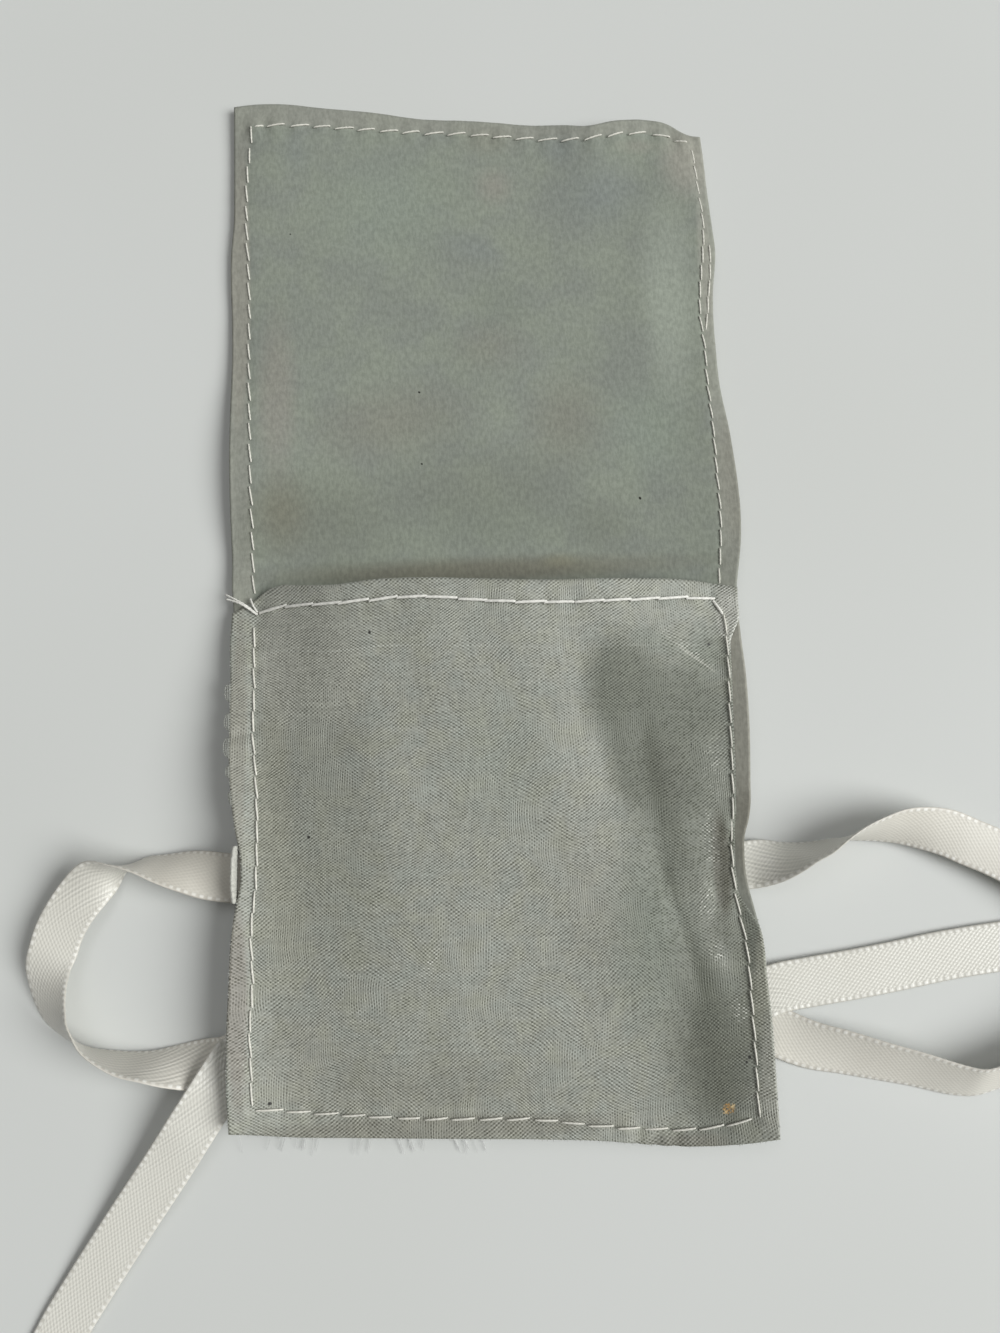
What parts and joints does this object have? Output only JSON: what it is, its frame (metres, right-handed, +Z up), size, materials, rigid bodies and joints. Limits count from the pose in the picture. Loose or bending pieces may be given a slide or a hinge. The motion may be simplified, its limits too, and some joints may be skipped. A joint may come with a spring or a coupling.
{
  "type": "jewelry pouch",
  "caption": "Small flap pouch for jewellery lying open: grey-green suede-like lining, thin silver-grey woven cover, white lockstitching and a white satin ribbon tie on each side.",
  "frame": {"origin": "on the table under the middle of the opened pouch, the free ribbons left out", "axes": "+Z up; the pocket lies towards -Y and the opened flap towards +Y; X runs along the fold"},
  "size_m": [0.1465, 0.1954, 0.0095],
  "materials": {
    "suede": "matt grey-green brushed nap",
    "woven": "thin plain weave, silky sheen",
    "hem_cloth": "thin plain weave, turned in",
    "thread": "spun white sewing thread",
    "satin": "white satin, one face glossy"
  },
  "bodies": {
    "pocket": {"back_cover": "woven", "back_lining": "suede", "pocket_front": "woven", "mouth_hem": "hem_cloth", "pocket_seam_thread": "thread", "mouth_thread": "thread", "mouth_thread_tail": "thread", "tie_tab_left": "satin", "tie_tab_right": "satin", "tie_end_left": "satin", "tie_ribbon_left": "satin", "tie_ribbon_right": "satin", "pocket_under_thread": "thread", "mouth_under_thread": "thread"},
    "flap": {"flap_lining": "suede", "flap_cover": "woven", "flap_seam_thread": "thread", "flap_backtack_thread": "thread", "flap_under_thread": "thread"}
  },
  "joints": [
    {"name": "flap_fold", "type": "hinge", "parent": "pocket", "child": "flap", "pos_m": [0, -0.00075, 0.0058], "axis": [1, 0, 0], "range_deg": [0, 180]}
  ]
}
